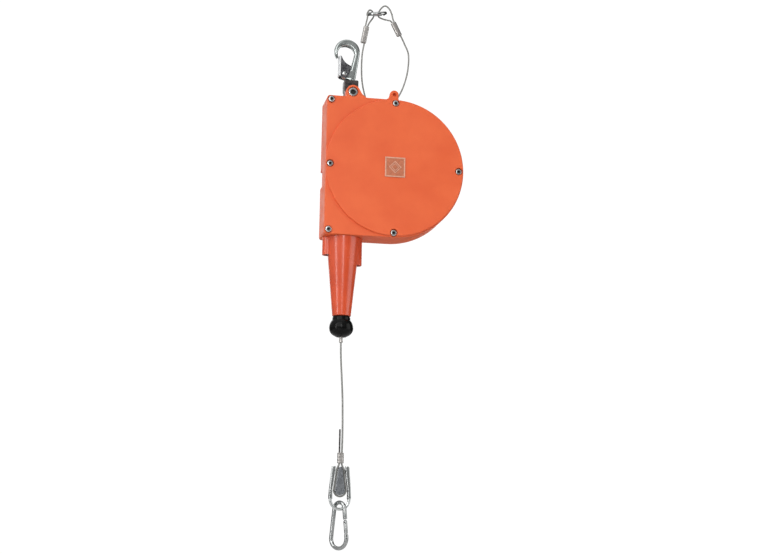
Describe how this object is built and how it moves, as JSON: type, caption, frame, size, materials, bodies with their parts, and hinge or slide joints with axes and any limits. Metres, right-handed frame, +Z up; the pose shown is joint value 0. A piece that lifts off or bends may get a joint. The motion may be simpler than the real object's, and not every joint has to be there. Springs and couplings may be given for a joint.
{
  "type": "spring rope balancer",
  "caption": "Spring-driven rope retractor that hangs from a swivel hook: D-shaped case, tapered nozzle, rubber ball stop, steel rope with a snap hook, and a safety rope.",
  "frame": {"origin": "the seat of the suspension hook, where it hangs on its support", "axes": "+X to the right and +Z up as the front is seen, +Y from the front cover to the back of the case"},
  "size_m": [0.1518, 0.0914, 0.6139],
  "materials": {
    "case_orange": "moulded orange plastic, finely textured, matt",
    "nozzle_red": "deeper red-orange plastic with a moulded gloss",
    "badge_plastic": "plain grey square, no mark",
    "zinc": "forged steel, zinc plated",
    "dark_steel": "burnished dark steel",
    "spring_steel": "oiled spring steel",
    "rope_steel": "stranded steel rope under a thin pale coat",
    "aluminium": "pressed aluminium sleeve",
    "rubber": "moulded black rubber",
    "brass": "turned bronze and brass",
    "black_plastic": "black acetal guide"
  },
  "bodies": {
    "hook": {"suspension_hook": "zinc", "gate_rivet": "zinc"},
    "gate": {"hook_gate": "zinc", "gate_spring": "spring_steel"},
    "swivel": {"yoke": "dark_steel", "swivel_retainer": "dark_steel"},
    "housing": {"rear_housing": "case_orange", "front_cover": "case_orange", "cover_screw_top_left": "dark_steel", "cover_screw_top": "dark_steel", "cover_screw_right": "dark_steel", "cover_screw_bottom": "dark_steel", "cover_screw_bottom_left": "dark_steel", "cover_screw_left": "dark_steel", "badge": "badge_plastic", "nozzle": "nozzle_red", "nozzle_screw_left": "zinc", "nozzle_screw_right": "zinc", "nozzle_bush": "black_plastic", "yoke_bolt": "dark_steel", "yoke_nut": "zinc", "rope_feed": "rope_steel", "safety_rope": "rope_steel", "safety_ferrule_left": "aluminium", "safety_ferrule_right": "aluminium", "safety_snap_body": "zinc", "safety_snap_pin": "zinc"},
    "reel": {"drum": "aluminium", "spring_cover": "aluminium", "drum_bush_front": "brass", "drum_bush_rear": "brass", "rope_winding": "rope_steel"},
    "arbor": {"spring_arbor": "dark_steel", "worm_wheel": "brass", "spiral_spring": "spring_steel"},
    "worm": {"adjusting_worm": "dark_steel"},
    "rope_end": {"ball_buffer": "rubber", "buffer_sleeve": "aluminium", "rope_hanging": "rope_steel", "rope_loop": "rope_steel", "rope_ferrule": "aluminium", "socket_wedge": "dark_steel", "wedge_socket": "zinc"},
    "lower_snap": {"snap_hook_body": "zinc", "snap_hook_pin": "zinc"},
    "lower_snap_gate": {"snap_hook_gate": "zinc"},
    "safety_gate": {"safety_snap_gate": "zinc"}
  },
  "joints": [
    {"name": "hook_gate_swing", "type": "hinge", "parent": "hook", "child": "gate", "pos_m": [-0.0018, 0, -0.0325], "axis": [0, 1, 0], "range_deg": [0, 25], "stiffness_Nm_per_rad": 0.02, "springref_deg": -34.38},
    {"name": "hook_swivel", "type": "hinge", "parent": "hook", "child": "swivel", "pos_m": [0.0061, 0, -0.0462], "axis": [0, 0, 1], "continuous": true},
    {"name": "yoke_tilt", "type": "hinge", "parent": "swivel", "child": "housing", "pos_m": [0.0061, 0, -0.057], "axis": [0, 1, 0], "range_deg": [-12, 12]},
    {"name": "drum_spin", "type": "hinge", "parent": "housing", "child": "reel", "pos_m": [0.0529, 0, -0.1392], "axis": [0, -1, 0], "range_deg": [0, 2246], "stiffness_Nm_per_rad": 0.011, "springref_deg": -2578.31},
    {"name": "rope_travel", "type": "slide", "parent": "housing", "child": "rope_end", "axis": [0, 0, -1], "range_m": [0, 2], "deforming": ["rope_feed"]},
    {"name": "preload_turn", "type": "hinge", "parent": "housing", "child": "arbor", "pos_m": [0.0529, 0, -0.1392], "axis": [0, 1, 0], "range_deg": [0, 360]},
    {"name": "worm_turn", "type": "hinge", "parent": "housing", "child": "worm", "pos_m": [0.0252, 0.012, -0.1529], "axis": [1, 0, 0], "range_deg": [0, 9000]},
    {"name": "snap_swing", "type": "hinge", "parent": "rope_end", "child": "lower_snap", "pos_m": [0.0044, 0, -0.5036], "axis": [1, 0, 0], "range_deg": [-35, 35]},
    {"name": "snap_gate_swing", "type": "hinge", "parent": "lower_snap", "child": "lower_snap_gate", "pos_m": [0.00995, -0.00595, -0.51698], "axis": [0.7314, 0.682, 0], "range_deg": [0, 25], "stiffness_Nm_per_rad": 0.002, "springref_deg": -34.38},
    {"name": "safety_gate_swing", "type": "hinge", "parent": "housing", "child": "safety_gate", "pos_m": [0.0504, 0.04478, 0.05941], "axis": [0.1354, 0.3187, -0.9381], "range_deg": [0, 25], "stiffness_Nm_per_rad": 0.002, "springref_deg": -34.38}
  ],
  "couplings": [
    {"joint": "rope_travel", "follows": "drum_spin", "m_per_rad": 0.051},
    {"joint": "worm_turn", "follows": "preload_turn", "ratio": 25}
  ]
}
